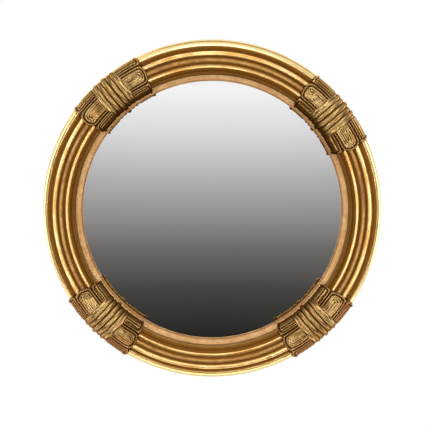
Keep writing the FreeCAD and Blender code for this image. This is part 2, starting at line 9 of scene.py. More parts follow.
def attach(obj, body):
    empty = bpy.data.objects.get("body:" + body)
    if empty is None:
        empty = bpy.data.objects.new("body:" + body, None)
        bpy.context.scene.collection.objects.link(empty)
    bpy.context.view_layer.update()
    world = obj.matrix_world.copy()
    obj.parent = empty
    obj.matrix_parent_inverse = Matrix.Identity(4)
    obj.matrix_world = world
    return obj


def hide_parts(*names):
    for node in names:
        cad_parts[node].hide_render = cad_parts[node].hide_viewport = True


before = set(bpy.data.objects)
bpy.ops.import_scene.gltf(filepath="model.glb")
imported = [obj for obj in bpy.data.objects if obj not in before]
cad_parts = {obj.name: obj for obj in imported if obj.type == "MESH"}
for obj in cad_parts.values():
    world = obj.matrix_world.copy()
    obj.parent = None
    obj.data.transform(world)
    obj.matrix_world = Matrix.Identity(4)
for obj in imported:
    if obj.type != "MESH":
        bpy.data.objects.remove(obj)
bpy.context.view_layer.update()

bl_info = {
    "name": "Convex mirror",
    "version": (1, 0, 0),
    "blender": (4, 5, 0),
    "location": "3D View > Sidebar > Convex mirror",
    "description": "Builds the gilt surfaces, the glass and the finishes of a round convex mirror",
    "category": "Object",
}

MM = 0.001
TURN = 2 * math.pi
IMAGE_SIZE = 432
# Radius and depth in front of the wall, in millimetres, of the quirks between the reeds
QUIRKS = np.array([(275.4, 30.0), (263.4, 35.9), (251.6, 38.4), (240.5, 38.8), (228.2, 35.4), (223.8, 24.5)])
# Node of each moulding, with the angles in degrees where it starts and ends
MOULDINGS = {
    "moulding_top": (39.2, 129.6),
    "moulding_left": (129.6, 225.3),
    "moulding_bottom": (225.3, 313.0),
    "moulding_right": (313.0, 399.2),
}
# Angle in degrees of each collar, and the radius in mm of the middle of their arch
COLLARS = {"upper_right": 39.2, "upper_left": 129.6, "lower_left": 225.3, "lower_right": 313.0}
COLLAR_MIDDLE = 247.7
# Radius in mm along which the mouldings' run is measured, and the distance between their sections
RUN_RADIUS = 250.0
STATION = 1.15
# How many knocks each moulding and each band has had
MOULDING_KNOCKS, BAND_KNOCKS = 26, 4
# Radius in mm where the slip ends and the glass shows
SIGHT_RADIUS = 213.9
# Height of the floor's top in metres
FLOOR_HEIGHT = -1.5
# Half the width of a collar's band, in mm
BAND_HALF = 22.0


# --- sizes and colours that a user would change ---

def length(name, description, default, low=0.0, high=1.0):
    """A length property in metres."""
    return FloatProperty(name=name, description=description, default=default, min=low, max=high,
                         subtype="DISTANCE", unit="LENGTH", precision=5)


def colour(name, description, default):
    """A linear colour property."""
    return FloatVectorProperty(name=name, description=description, default=default, size=3,
                               min=0.0, max=1.0, subtype="COLOR")


class MirrorSizes(bpy.types.PropertyGroup):
    reed_rise: length("Reed rise", "Height of a reed's round above the line between its quirks", 0.0032)
    reed_waver: length("Reed waver", "How far the hand-finished reeds wander from a true circle", 0.00016)
    dent_depth: length("Dent depth", "Depth of the deepest knocks in the gesso", 0.0005)
    ring_depth: length("Back ring depth", "Thickness of the back ring behind the moulding", 0.018)
    glass_radius: length("Glass curve", "Radius of the convex glass's sphere", 0.92, 0.5, 5.0)
    rib_height: length("Rib height", "Rise of the central rib of a collar band", 0.0031)
    bead_height: length("Bead height", "Rise of the beads at the edges of a collar band", 0.0021)
    leaf_length: length("Leaf length", "From a collar's centre to the notches between its leaves", 0.0575)
    leaf_relief: length("Leaf relief", "Height of a leaf's rims and ribs above its hollows", 0.0014)


class MirrorColours(bpy.types.PropertyGroup):
    leaf_gold: colour("Gold leaf", "Clean burnished gold leaf", (0.92, 0.69, 0.33))
    deep_gold: colour("Toned gold", "Gold leaf under old size and wax", (0.55, 0.30, 0.085))
    bole: colour("Bole", "Red clay ground that shows where the leaf is rubbed", (0.31, 0.135, 0.052))
    # Grime is also the colour of the painted shade in the wax_and_shade marks
    grime_and_shade: colour("Grime", "Wax and dust in the quirks", (0.15, 0.055, 0.006))
    pine: colour("Aged pine", "Bare wood of the back", (0.42, 0.245, 0.105))
    silvering: colour("Silvering", "Reflection of the glass", (0.93, 0.93, 0.93))
    brass: colour("Brass", "Hanger and its ring", (0.62, 0.43, 0.18))
    iron: colour("Iron", "Screws", (0.20, 0.17, 0.15))
    floor: colour("Floor", "Plain pale floor", (0.86, 0.85, 0.83))


# --- surfaces ---

def vectors(x, y, z):
    """Vectors of three numbers from three arrays that broadcast to one shape."""
    return np.stack(np.broadcast_arrays(x, y, z), axis=-1)


def polar(radius, angle, depth):
    """Points on the mirror in metres: x and z from the radius in mm and the angle in radians, counter-
    clockwise as seen from the front, and y from the depth in mm in front of the wall."""
    return vectors(radius * np.cos(angle), -depth, radius * np.sin(angle)) * MM


def beside(radius, across, depth, angle):
    """Points in metres about a collar's centre line: the radius runs out along the line at that
    angle, and across is square to it, in mm."""
    cosine, sine = math.cos(angle), math.sin(angle)
    return vectors(radius * cosine - across * sine, -depth, radius * sine + across * cosine) * MM


def ripple(along, across, lengths, random, waves=14):
    """Hand-made unevenness, mostly between -1 and 1: the sum of plane waves of random direction and
    phase, with wavelengths between the two given, over the root of their number."""
    total = np.zeros(np.broadcast(along, across).shape)
    for _ in range(waves):
        direction = random.uniform(0, TURN)
        stretch = random.uniform(*lengths)
        phase = random.uniform(0, TURN)
        total += np.sin(TURN * (along * math.cos(direction) + across * math.sin(direction)) / stretch + phase)
    return total / math.sqrt(waves)


def blurred(height, reach):
    """Height averaged over a bell-shaped window, reach cells wide each way, along both directions."""
    offsets = np.arange(-3 * reach, 3 * reach + 1)
    bell = np.exp(-0.5 * (offsets / reach) ** 2)
    bell /= bell.sum()
    for axis in (0, 1):
        padding = [(0, 0), (0, 0)]
        padding[axis] = (3 * reach, 3 * reach)
        padded = np.pad(height, padding, mode="edge")
        size = height.shape[axis]
        height = sum(weight * np.take(padded, np.arange(size) + step, axis=axis)
                     for step, weight in enumerate(bell))
    return height


def grid_faces(rows, columns, ring):
    """Quads of a grid of closed loops. The last loop joins the first where the path is a ring."""
    index = np.arange(rows * columns).reshape(rows, columns)
    if ring:
        index = np.vstack([index, index[:1]])
    following = np.roll(index, -1, axis=1)
    return np.stack([index[:-1], following[:-1], following[1:], index[1:]], axis=-1).reshape(-1, 4)


def fan(loop, centre):
    """Triangles from a closed loop of vertices to one centre vertex."""
    return np.stack([loop, np.full_like(loop, centre), np.roll(loop, -1)], axis=-1)


def closed_mesh(name, points, ring=False, marks=None, ends=None, smooth=True):
    """A closed mesh from a grid of points: each row is a closed section, and the rows follow a path.
    Both ends of a path that isn't a ring close in a fan to the middle of the last section, or to the
    given end points. Corners are turned so that the faces point outwards, by the sign of the volume.
    marks are named values for every point, a number or a vector."""
    rows, columns = points.shape[:2]
    vertices = points.reshape(-1, 3)
    quads = grid_faces(rows, columns, ring)
    triangles = np.zeros((0, 3), int)
    extra = 0
    if not ring:
        if ends is None:
            ends = [points[0].mean(axis=0), points[-1].mean(axis=0)]
        count = len(vertices)
        vertices = np.vstack([vertices, ends])
        first = fan(np.arange(columns), count)
        last = fan(np.arange(columns) + (rows - 1) * columns, count + 1)[:, ::-1]
        triangles = np.vstack([first, last])
        extra = 2
    halves = np.vstack([quads[:, [0, 1, 2]], quads[:, [0, 2, 3]], triangles])
    a, b, c = (vertices[halves[:, corner]] for corner in range(3))
    if np.einsum("ij,ij->i", a, np.cross(b, c)).sum() < 0:
        quads, triangles = quads[:, ::-1], triangles[:, ::-1]
    corners = np.concatenate([quads.ravel(), triangles.ravel()]).astype(np.int32)
    starts = np.concatenate([np.arange(len(quads)) * 4, len(quads) * 4 + np.arange(len(triangles)) * 3])
    mesh = bpy.data.meshes.new(name)
    mesh.vertices.add(len(vertices))
    mesh.vertices.foreach_set("co", vertices.astype(np.float32).ravel())
    mesh.loops.add(len(corners))
    mesh.loops.foreach_set("vertex_index", corners)
    mesh.polygons.add(len(starts))
    mesh.polygons.foreach_set("loop_start", starts.astype(np.int32))
    mesh.update(calc_edges=True)
    mesh.polygons.foreach_set("use_smooth", np.full(len(starts), smooth))
    for mark, values in (marks or {}).items():
        vector = values.ndim == 3
        flat = values.reshape(rows * columns, -1)
        flat = np.vstack([flat, np.repeat(flat[-1:], extra, axis=0)]).astype(np.float32)
        layer = mesh.attributes.new(mark, "FLOAT_VECTOR" if vector else "FLOAT", "POINT")
        layer.data.foreach_set("vector" if vector else "value", flat.ravel())
    if mesh.validate():
        raise RuntimeError(f"{name} has faces that aren't valid")
    return mesh


def add_object(name, data):
    """A new object in the scene, with its origin at the frame's."""
    item = bpy.data.objects.new(name, data)
    bpy.context.scene.collection.objects.link(item)
    return item


def add_surface(name, points, material, slot, nodes, body="frame", **shape):
    """A piece of the mirror: a closed mesh with a material, that rides on a body and stands for CAD
    nodes. The shape's arguments are those of closed_mesh."""
    mesh = closed_mesh(name, points, **shape)
    mesh.materials.append(material)
    piece = add_object(name, mesh)
    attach(piece, body)
    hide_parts(*nodes)


# --- finishes ---

class Value:
    """An output of a node, to reckon with: each sign and method adds a node and gives its output."""

    def __init__(self, tree, socket):
        self.tree, self.socket = tree, socket

    def math(self, operation, first, second):
        """The output of a Math node."""
        return add_node(self.tree, "Math", 0, {0: first, 1: second}, operation=operation)

    def __add__(self, other):
        return self.math("ADD", self, other)

    def __sub__(self, other):
        return self.math("SUBTRACT", self, other)

    def __rsub__(self, other):
        return self.math("SUBTRACT", other, self)

    def __mul__(self, other):
        return self.math("MULTIPLY", self, other)

    def root(self):
        return self.math("SQRT", self, 0.0)

    def clamped(self):
        """The same value, held between 0 and 1 by the Math node that gives it."""
        self.socket.node.use_clamp = True
        return self

    def step(self, low, high, to_low=0.0, to_high=1.0):
        """A smooth step, as the value goes from low to high."""
        return add_node(self.tree, "MapRange", "Result", {"Value": self, "From Min": low, "From Max": high,
                                                          "To Min": to_low, "To Max": to_high},
                        interpolation_type="SMOOTHSTEP")

    def mix(self, first, second):
        """The first colour, and the second as far as the value says."""
        return add_node(self.tree, "Mix", 2, {0: self, 6: first, 7: second}, data_type="RGBA")


def add_node(tree, kind, output, values, **settings):
    """A new shader node with these settings, as the Value of one output. The values are those of its
    inputs, by name or number: another node's output, a number, a vector, or a colour of three."""
    node = tree.nodes.new("ShaderNode" + kind)
    for name, setting in settings.items():
        setattr(node, name, setting)
    for name, value in values.items():
        socket = node.inputs[name]
        if isinstance(value, Value):
            tree.links.new(value.socket, socket)
        else:
            socket.default_value = (*value, 1.0) if socket.type == "RGBA" else value
    return Value(tree, node.outputs[output])


def add_output(tree, kind, shader):
    """Lead a shader to a new output node of the material or the world."""
    tree.links.new(shader.socket, tree.nodes.new("ShaderNodeOutput" + kind).inputs["Surface"])


class Finish:
    """A material under construction: each method adds nodes and gives back their output."""

    def __init__(self, name):
        self.material = bpy.data.materials.new(name)
        self.material.use_nodes = True
        self.tree = self.material.node_tree
        self.tree.nodes.clear()

    def done(self, **values):
        """The finished material, from its shader's inputs by name, with an underscore for each space."""
        values = {name.replace("_", " "): value for name, value in values.items()}
        add_output(self.tree, "Material", add_node(self.tree, "BsdfPrincipled", 0, values))
        return self.material

    def place(self, **mapping):
        """The object's own coordinates in metres, turned and shifted."""
        return self.mapped(add_node(self.tree, "TexCoord", "Object", {}), **mapping)

    def radius(self):
        """Distance from the mirror's axis in metres."""
        across, up = (add_node(self.tree, "SeparateXYZ", axis, {0: self.place()}) for axis in "XZ")
        return (across * across + up * up).root()

    def mapped(self, vector, scale=(1, 1, 1), turn=(0, 0, 0), shift=(0, 0, 0)):
        """A vector scaled, turned and shifted, in this order."""
        return add_node(self.tree, "Mapping", 0, {"Vector": vector, "Scale": scale, "Rotation": turn,
                                                  "Location": shift})

    def mark(self, name, output="Fac"):
        """A mark that the surface has at every point."""
        return add_node(self.tree, "Attribute", output, {}, attribute_name=name)

    def noise(self, vector, scale, detail, roughness, distortion=0.0):
        """Cloudy noise around 0.5."""
        return add_node(self.tree, "TexNoise", "Fac", {"Vector": vector, "Scale": scale, "Detail": detail,
                                                       "Roughness": roughness, "Distortion": distortion})

    def cells(self, vector, scale, feature="DISTANCE_TO_EDGE"):
        """Distance to the edges, or with F1 to the middles, of irregular cells."""
        return add_node(self.tree, "TexVoronoi", "Distance", {"Vector": vector, "Scale": scale},
                        feature=feature)

    def bands(self, vector, scale, distortion, detail, detail_scale):
        """Growth bands, one over the other along Z."""
        values = {"Vector": vector, "Scale": scale, "Distortion": distortion, "Detail": detail,
                  "Detail Scale": detail_scale}
        return add_node(self.tree, "TexWave", "Fac", values, wave_type="BANDS", bands_direction="Z",
                        wave_profile="SAW")

    def bump(self, height, depth, **below):
        """Relief of that depth in metres, over the relief below as Normal."""
        return add_node(self.tree, "Bump", 0, {"Strength": 1.0, "Distance": depth, "Height": height, **below})


def shade(tone, amount):
    """A colour times a number."""
    return tuple(channel * amount for channel in tone)


# Painted highlight: pale gold laid on the outer half of the outermost reed and its outer side, where it
# catches the light
PAINTED_HIGHLIGHT_GOLD = (0.98, 0.80, 0.40)
# Clean and toned leaf of the slip, of the carved leaves and of the bands, duller than on the reeds
SLIP_LEAF = (0.66, 0.45, 0.22), (0.48, 0.28, 0.12)
CARVED_LEAF = (0.50, 0.345, 0.150), (0.29, 0.155, 0.048)
BAND_LEAF = (0.41, 0.272, 0.110), (0.27, 0.142, 0.045)
# The size on the outer side of the felloes, and the tarnish of brass and iron
YELLOW_SIZE = (0.80, 0.64, 0.32)
BROWN_TARNISH = (0.10, 0.062, 0.022)
RUST = (0.09, 0.035, 0.012)
# Distances from the axis in metres over which the size begins, and over which the glass greys
SIZED_FROM = (0.2755, 0.2762)
GREYED_FROM = (0.190, 0.213)


def gilt(name, gold, toned, bole, grime_and_shade, rub, soot, seed, streak=(16, 190, 16), dull=0.0, leafed=1.0):
    """Old water gilding. Gold leaf over red bole: the leaf varies in tone in laps and blotches, is
    rubbed through to the bole on the worn marks, and holds brown wax and dust in the wax_and_shade
    marks, which also carry painted shade; the painted_highlight mark lays on pale gold as a painted
    highlight. rub and soot from 0 to 1 say how much of each there is, streak is the scale of the streaks
    along the run, dull adds to the roughness, and leafed is the share of the leaf that is left."""
    finish = Finish(name)
    place = finish.place(shift=(seed, seed * 0.7, -seed))
    blotch = finish.noise(place, 26, 4, 0.6)
    fine = finish.noise(place, 130, 3, 0.6)
    grain = finish.noise(place, 1500, 2, 0.5)
    run = finish.mark("run", "Vector")
    worn, wax_and_shade, painted_highlight = (finish.mark(mark) for mark in ("worn", "wax_and_shade", "painted_highlight"))
    streaks = finish.noise(finish.mapped(run, scale=streak, shift=(seed, 0, 0)), 1.0, 4, 0.6, 0.4)
    leaf = (blotch * 0.55 + streaks * 0.45).step(0.36, 0.66).mix(toned, gold)
    # Painted highlight in pale gold where the painted_highlight mark says
    leaf = (painted_highlight * 0.85).mix(leaf, PAINTED_HIGHLIGHT_GOLD)
    leaf = fine.step(0.35, 0.8, 0.0, 0.18).mix(leaf, toned)
    # Leaf toned darker by wax in the hollows and by painted shade
    leaf = wax_and_shade.step(0.04, 0.55, 0.0, 0.9).mix(leaf, shade(toned, 0.62))
    # Rubbed through to the bole, least under the painted highlight
    edge = 0.98 - 0.42 * rub
    rubbed = (worn * 0.42 + fine * 0.34 + streaks * 0.42).step(edge - 0.16, edge + 0.12, 0.0, 0.92)
    rubbed = rubbed * (1.0 - painted_highlight * 0.75)
    clay = grain.step(0.3, 0.7).mix(shade(bole, 0.75), shade(bole, 1.25))
    tone = rubbed.mix(leaf, clay)
    # Wax and dust in the hollows, with the painted shade that the marks carry
    grime_and_shade_cover = wax_and_shade + fine * 0.3 + blotch * (0.3 * soot)
    grime_and_shade_cover = grime_and_shade_cover.step(0.52 - 0.22 * soot, 1.16 - 0.30 * soot, 0.0, 0.94)
    tone = grime_and_shade_cover.mix(tone, grime_and_shade)
    # Age cracks across the run, and specks of chipped gesso
    cracks = finish.cells(finish.mapped(run, scale=(95, 22, 1)), 1.0).step(0.0, 0.018, 1.0, 0.0)
    cracks = cracks * blotch.step(0.5, 0.62, 0.0, 0.5) * (1.0 - painted_highlight)
    tone = (cracks * 0.7).mix(tone, shade(grime_and_shade, 1.4))
    specks = finish.noise(place, 620, 2, 0.4).step(0.74, 0.78)
    tone = (specks * 0.35).mix(tone, shade(bole, 0.45))
    metal = (leafed - rubbed * 0.62).clamped() * (1.0 - grime_and_shade_cover * 0.12)
    rough = fine.step(0.2, 0.8, 0.23 + dull, 0.32 + dull)
    rough = (rough + rubbed * 0.12 + grime_and_shade_cover * 0.28).clamped()
    relief = finish.bump(finish.noise(place, 200, 2, 0.5), 0.000008)
    relief = finish.bump(grain, 0.000003, Normal=relief)
    relief = finish.bump(1.0 - (cracks + rubbed * 0.4), 0.000008, Normal=relief)
    return finish.done(Base_Color=tone, Metallic=metal, Roughness=rough, Normal=relief,
                       Specular_IOR_Level=0.25, Specular_Tint=(0.95, 0.66, 0.33))


def old_pine(name, bare, turn, seed, side_tone=None):
    """Sawn pine, browned by age: growth bands along the grain, darker late wood, a few knots, fine
    fibres and stains. The grain runs along X once the coordinates are turned. Where a side tone is
    given, wood further out than the front's shoulder has yellow size on it."""
    finish = Finish(name)
    moved = finish.mapped(finish.place(turn=(0, turn, 0)), shift=(seed, seed * 1.7, seed * 0.6))
    rings = finish.bands(finish.mapped(moved, scale=(0.22, 1, 1)), 26, 9.0, 2.5, 0.7)
    tone = rings.step(0.55, 1.0).mix(bare, shade(bare, 0.5))
    stain = finish.noise(moved, 9, 4, 0.6)
    tone = stain.step(0.42, 0.72, 0.0, 0.75).mix(tone, shade(bare, 0.42))
    fibre = finish.noise(finish.mapped(moved, scale=(0.03, 1, 1)), 900, 3, 0.6)
    tone = fibre.step(0.4, 0.75, 0.0, 0.45).mix(tone, shade(bare, 0.55))
    knots = finish.cells(finish.mapped(moved, scale=(0.6, 1, 1)), 7.5, "F1")
    tone = knots.step(0.03, 0.11, 0.9, 0.0).mix(tone, shade(bare, 0.2))
    specks = finish.noise(moved, 240, 2, 0.5).step(0.69, 0.74)
    tone = (specks * 0.5).mix(tone, shade(bare, 0.18))
    if side_tone:
        patches = finish.noise(moved, 60, 4, 0.65).step(0.45, 0.7)
        size = patches.mix(side_tone, shade(side_tone, 0.62))
        tone = finish.radius().step(*SIZED_FROM).mix(tone, size)
    relief = finish.bump(rings, 0.00012, Normal=finish.bump(fibre, 0.00018))
    rough = fibre.step(0.3, 0.8, 0.62, 0.82)
    return finish.done(Base_Color=tone, Roughness=rough, Normal=relief, Specular_IOR_Level=0.3)


def old_metal(name, tone, tarnish, rough, seed, amount):
    """Aged metal: a brushed base with tarnish in patches and fine scratches."""
    finish = Finish(name)
    place = finish.place(shift=(seed, 0, seed))
    patches = finish.noise(place, 160, 5, 0.65)
    covered = patches.step(0.62 - 0.3 * amount, 0.80 - 0.2 * amount)
    fine = finish.noise(place, 2600, 2, 0.5)
    clean = fine.step(0.3, 0.7).mix(tone, shade(tone, 0.78))
    scratches = finish.noise(finish.mapped(place, scale=(1, 1, 14), turn=(0, 0.5, 0)), 700, 2, 0.5)
    level = (scratches.step(0.3, 0.7, rough, rough + 0.14) + covered * 0.28).clamped()
    relief = finish.bump(scratches, 0.00002, Normal=finish.bump(patches, 0.00008))
    return finish.done(Base_Color=covered.mix(clean, tarnish), Metallic=1.0 - covered * 0.75,
                       Roughness=level, Normal=relief)


def silvered_glass(name, tone):
    """Silvered glass: a clean mirror with faint greying in specks towards its edge."""
    finish = Finish(name)
    specks = finish.noise(finish.place(), 95, 5, 0.7).step(0.56, 0.70, 0.0, 0.12)
    haze = finish.radius().step(*GREYED_FROM) * specks
    toned = haze.mix(tone, shade(tone, 0.72))
    return finish.done(Base_Color=toned, Metallic=1.0, Roughness=haze * 0.12)


# --- pieces ---

def reed_section(rise, ring_depth, per_reed=18):
    """The moulding's section, outside in, as radius, depth, the direction that it faces, and for each
    point its place across a reed from 0 to 1 and the reed's number, 0 outermost, with -1 for the outer
    side and 5 for the back. Each reed is an arc over the line between two quirks, raised by the rise."""
    points, normals, places, reeds = [], [], [], []
    for number in range(5):
        start, end = QUIRKS[number], QUIRKS[number + 1]
        chord = end - start
        half = np.hypot(*chord) / 2
        radius = (half ** 2 + rise ** 2) / (2 * rise)
        out = np.array([-chord[1], chord[0]]) / (2 * half)
        if out[1] < 0:
            out = -out
        middle = (start + end) / 2 + out * (rise - radius)
        spread = math.asin(min(half / radius, 1))
        place = np.linspace(0, 1, per_reed, endpoint=False)
        angle = (place * 2 - 1) * spread
        facing = out * np.cos(angle)[:, None] + chord / (2 * half) * np.sin(angle)[:, None]
        points.append(middle + radius * facing)
        normals.append(facing)
        places.append(place)
        reeds.append(np.full(per_reed, number))
    side = [(277.24, ring_depth), (276.9, ring_depth + 2), (276.3, 23.0), (275.8, 27.0)]
    back = [QUIRKS[-1], (223.8, 22.0), (223.8, ring_depth), (250.0, ring_depth)]
    out_of_back = [(-1, 0.5), (-1, 0), (-0.7, -0.7), (0, -1.0)]
    return [np.concatenate(group) for group in (
        [side, *points, back], [np.tile([1.0, 0.1], (4, 1)), *normals, out_of_back],
        [np.full(4, 0.5), *places, np.zeros(4)], [np.full(4, -1), *reeds, np.full(4, 5)])]


def build_moulding(node, angles, sizes, material, seed):
    """A reeded moulding: the section carried round the arc between two angles. Each reed wanders by a
    sum of slow waves, and round knocks press its crest in."""
    random = np.random.default_rng(seed)
    section, facing, place, reed = reed_section(sizes.reed_rise / MM, sizes.ring_depth / MM)
    base_radius, base_depth = section.T
    radial, forward = (facing / np.linalg.norm(facing, axis=1)[:, None]).T
    start, end = np.radians(angles)
    stations = int((end - start) * RUN_RADIUS / STATION)
    angle = np.linspace(start, end, stations)[:, None]
    run = angle * RUN_RADIUS
    shown = ((reed >= 0) & (reed < 5)).astype(float)
    waver = np.zeros((stations, len(section)))
    for number in range(5):
        waver += (reed == number) * ripple(run, number * 40.0, (18, 120), random, 8)
    crest = np.sin(np.pi * np.clip(place, 0, 1)) * shown
    lift = sizes.reed_waver / MM * waver * crest
    lift += 0.008 * ripple(run, base_radius, (3, 9), random, 12) * crest
    worn = np.zeros_like(lift)
    for _ in range(MOULDING_KNOCKS):
        at = random.uniform(start, end) * RUN_RADIUS
        across = random.uniform(228, 273)
        wide, long = random.uniform(0.8, 2.4), random.uniform(1.2, 4.5)
        press = np.exp(-((run - at) / long) ** 2 - ((base_radius - across) / wide) ** 2)
        lift -= random.uniform(0.3, 1.0) * sizes.dent_depth / MM * press * crest
        worn += press * random.uniform(0.4, 1.3)
    # The middle reed is rubbed most, and the outermost not at all
    rubbing = np.choose(np.clip(reed, 0, 4), [0.0, 0.40, 1.10, 0.30, 0.35])
    slow = 0.5 + 0.5 * ripple(run, 0.0, (60, 260), random, 6)
    worn += rubbing * (0.35 + 0.65 * crest) * (0.6 + 0.5 * slow) * shown
    # Brown wax lies in the quirks. The sides of the reeds that turn from the lamps get painted shade as well,
    # marked below
    quirk_wax_and_shade = (1 - np.sin(np.pi * np.clip(place, 0, 1))) ** 0.95
    # Hardly any wax on the outer half of the outermost reed, under its painted highlight
    quirk_wax_and_shade = np.where((reed == 0) & (place < 0.5), 0.10 * quirk_wax_and_shade, quirk_wax_and_shade)
    # Painted shade on the outer half of the second reed, on all of the middle reed and on the inner half of
    # the fourth
    quirk_wax_and_shade = quirk_wax_and_shade + 0.8 * np.clip((0.44 - place) / 0.15, 0, 1) * (reed == 1) + 0.40 * (reed == 2)
    quirk_wax_and_shade = quirk_wax_and_shade + 0.9 * np.clip((place - 0.40) / 0.12, 0, 1) * (reed == 3)
    # Painted highlight on the outer half of the outermost reed and, less, on the outer side
    painted_highlight = np.clip((0.66 - place) / 0.15, 0, 1) * (reed == 0) + 0.6 * (reed < 0)
    # Painted shade on the steep inner wall, and on the outer side and the back
    wax_and_shade = quirk_wax_and_shade * shown + 0.35 * (reed == 4) + 0.55 * (1 - shown)
    # Painted shade on the inner half of the outermost reed too, left off at the bottom of the ring, where
    # that half faces the lamps
    unshaded_bottom = np.clip(-np.sin(angle) * 4 - 2.4, 0, 1)
    wax_and_shade = wax_and_shade + 0.7 * np.clip((place - 0.55) / 0.25, 0, 1) * (reed == 0) * (1 - unshaded_bottom)
    across = np.concatenate([[0], np.cumsum(np.hypot(*np.diff(section, axis=0).T))])
    points = polar(base_radius + radial * lift, angle, base_depth + forward * lift)
    add_surface(node + "_gilt", points, material, slot="gilt_reeds", nodes=[node],
                marks={"run": vectors(run, across, 0.0) * MM, "worn": np.clip(worn, 0, 1.4),
                       "wax_and_shade": wax_and_shade, "painted_highlight": np.broadcast_to(painted_highlight, lift.shape)})


def arch():
    """The arch that the collars follow over the reeds, from the foot on the frame's side to the foot on
    the slip: an outer wall, a round shoulder, a flatter crown, a shoulder and a wall. Gives a fine
    polyline: the distance along it, radius and depth in mm, and the direction that it faces."""
    half, outer_foot, inner_foot, spring = 29.2, 3.0, 20.6, 26.5
    shoulder, crown, crown_centre = 13.0, 40.0, 4.9
    # The angle at which the shoulder's circle goes over into the crown's
    turn = math.acos(0.6)
    wall = np.stack([np.full(48, half), np.linspace(outer_foot, spring, 48)], axis=1)
    angle = np.linspace(0, turn, 40)[1:]
    bend = np.stack([half - shoulder + shoulder * np.cos(angle), spring + shoulder * np.sin(angle)], axis=1)
    angle = np.linspace(turn, math.pi - turn, 160)[1:]
    top = np.stack([crown * np.cos(angle), crown_centre + crown * np.sin(angle)], axis=1)
    other_bend = (bend[::-1] * (-1, 1))[1:]
    foot = np.stack([np.full(12, -half), np.linspace(spring, inner_foot, 12)], axis=1)
    line = np.vstack([wall, bend, top, other_bend, foot])
    step = np.gradient(line, axis=0)
    step /= np.linalg.norm(step, axis=1)[:, None]
    facing = np.stack([step[:, 1], -step[:, 0]], axis=1)
    along = np.concatenate([[0], np.cumsum(np.hypot(*np.diff(line, axis=0).T))])
    return along, line[:, 0] + COLLAR_MIDDLE, line[:, 1], facing


def on_arch(distance):
    """Radius, depth and facing of the arch at these distances along it."""
    along, radius, depth, facing = arch()
    return [np.interp(distance, along, values) for values in (radius, depth, *facing.T)]


def band_profile(across, rib, bead):
    """Height in mm of a collar band above the arch at a place across it: a round central rib, a flatter
    roll on either side of it and a bead at each edge, with sharp quirks between them."""
    distance = np.abs(across)
    height = np.full_like(distance, 0.35)
    for middle, half, rise in ((0.0, 4.1, rib), (16.3, 3.0, bead), (8.9, 3.7, 1.5)):
        height += rise * np.sqrt(np.clip(1 - ((distance - middle) / half) ** 2, 0, 1))
    return height


def build_band(place, angle, sizes, material, seed):
    """A collar's band: the ribbed profile lifted off the arch along the direction that the arch faces,
    straight across the frame, with its edges and a core down to the reeds."""
    random = np.random.default_rng(seed)
    distance = np.linspace(0, arch()[0][-1], 150)[:, None]
    top = np.linspace(-BAND_HALF + 0.15, BAND_HALF - 0.15, 150)
    edge = np.array([BAND_HALF, BAND_HALF, BAND_HALF, BAND_HALF - 0.4])
    across = np.concatenate([top, edge, -edge[::-1]])
    uneven = 0.008 * ripple(distance, across, (12, 40), random) * (np.abs(across) < BAND_HALF - 0.1)
    height = band_profile(across, sizes.rib_height / MM, sizes.bead_height / MM) + uneven
    for _ in range(BAND_KNOCKS):
        at, side = random.uniform(20, 95), random.uniform(-20, 20)
        wide = random.uniform(0.8, 2.2)
        press = np.exp(-((distance - at) ** 2 + (across - side) ** 2) / wide ** 2)
        height -= random.uniform(0.05, 0.15) * press
    height[:, len(top):] = [0.3, -2.0, -6.0, -9.6, -9.6, -6.0, -2.0, 0.3]
    radius, depth, out, up = on_arch(distance)
    points = beside(radius + out * height, across, depth + up * height, math.radians(angle))
    change = raised_above(height, len(top), 5)
    wax_and_shade = np.clip(-change / 0.7, 0, 1)
    # Painted shade on the band's edges, which turn down under the cuffs
    wax_and_shade[:, len(top):] = 1.0
    add_collar_piece(f"collar_band_{place}", points, material, place, distance,
                     vectors(distance * MM, across * MM, seed), np.clip(change / 0.55, 0, 1), wax_and_shade)


def raised_above(height, columns, reach):
    """How far the first columns of a relief stand above their blurred selves, and 0 in the others."""
    change = np.zeros_like(height)
    change[:, :columns] = height[:, :columns] - blurred(height[:, :columns], reach)
    return change


def add_collar_piece(node, points, material, place, distance, run, worn, wax_and_shade):
    """A band or a cuff. Its wax_and_shade mark gets painted shade on the side towards the glass, where the
    arch comes down on the slip, heaviest on the upper collars, whose inner side faces down, and a little on
    the outer side of the lower ones, which faces down. Its worn mark gets wear on that outer side, where the
    mirror is taken hold of."""
    # Painted shade at the foot of the arch on the slip, and on the lower collars' outer side
    if place.startswith("upper"):
        painted_shade, handled = 1.6 * np.clip((distance - 79) / 20, 0, 1), 0.0
    else:
        painted_shade = 0.7 * np.clip((distance - 80) / 20, 0, 1) + 0.3 * np.clip((46 - distance) / 18, 0, 1)
        handled = 1.3 * np.clip((52 - distance) / 24, 0, 1)
    add_surface(node + "_gilt", points, material, slot="gilt_collar", nodes=[node],
                marks={"run": run, "worn": worn + handled, "wax_and_shade": np.clip(wax_and_shade + painted_shade, 0, 1.5)})


# How each leaf cuff was cut by hand, in mm: depth of the lobes along the leaf edges, their length, and
# how far the middle leaf reaches past the others
CUFFS = {
    "upper_right": {"left": (1.1, 5.2, 1.5), "right": (1.2, 4.6, 2.0)},
    "upper_left": {"left": (0.9, 6.0, 2.5), "right": (1.0, 5.0, 1.0)},
    "lower_left": {"left": (1.8, 4.0, 0.5), "right": (1.2, 5.0, 1.0)},
    "lower_right": {"left": (1.1, 4.8, 0.5), "right": (1.9, 3.8, 0.5)},
}
# Radii in mm of the cuts between a cuff's three leaves, and of the leaves' ribs, outside in
LEAF_CUTS = (264.5, 234.0)
LEAF_RIBS = (270.0, 249.0, 226.0)
# Outer and inner radius of each leaf and the radius of its rounded end, in mm
LEAVES = ((276.9, LEAF_CUTS[0], 7.2), (*LEAF_CUTS, 26.0), (LEAF_CUTS[1], 218.5, 9.5))


